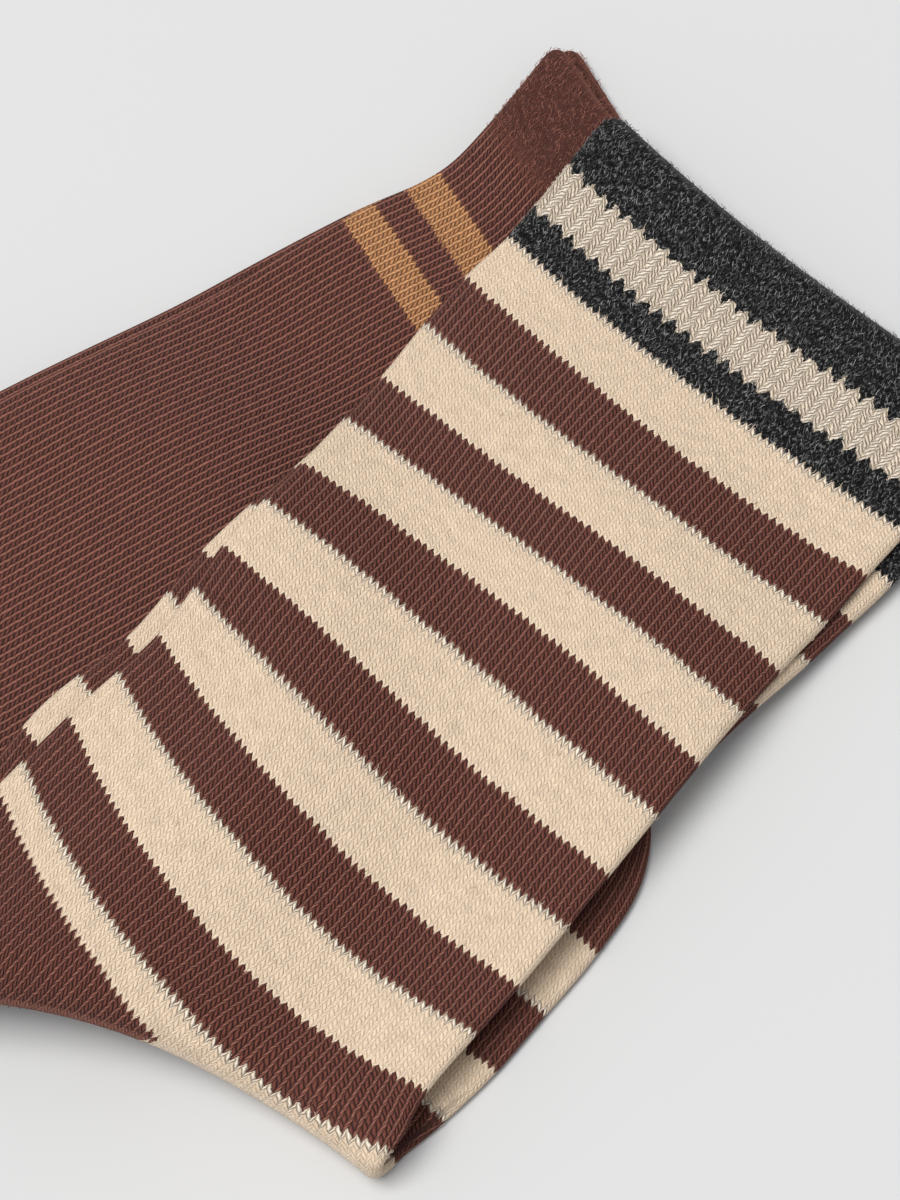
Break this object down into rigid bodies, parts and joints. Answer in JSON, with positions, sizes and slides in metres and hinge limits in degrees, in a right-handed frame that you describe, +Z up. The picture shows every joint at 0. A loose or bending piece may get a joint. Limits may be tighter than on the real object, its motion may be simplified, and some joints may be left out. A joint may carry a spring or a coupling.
{
  "type": "pair of socks",
  "caption": "Knitted ankle-to-calf socks folded under at the instep: a striped pair with a charcoal and oatmeal cuff, laid across a plain brown pair with tan bands.",
  "frame": {"origin": "middle of the heap's outer box, on the surface the socks lie on", "axes": "+Z up; X and Y lie on the surface; the striped cuffs point to +X and +Y, and the folds face -Y"},
  "size_m": [0.2, 0.1692, 0.0235],
  "materials": {
    "brown_knit": "ribbed knit, brown, with a tan double band and a fuzzy brown cuff",
    "striped_knit": "plain knit, cream and brown stripes, charcoal and oatmeal bands at the cuff"
  },
  "bodies": {
    "root": {"brown_sock_upper": "brown_knit", "brown_sock_under": "brown_knit", "striped_sock_upper": "striped_knit", "striped_sock_under": "striped_knit"}
  },
  "joints": []
}
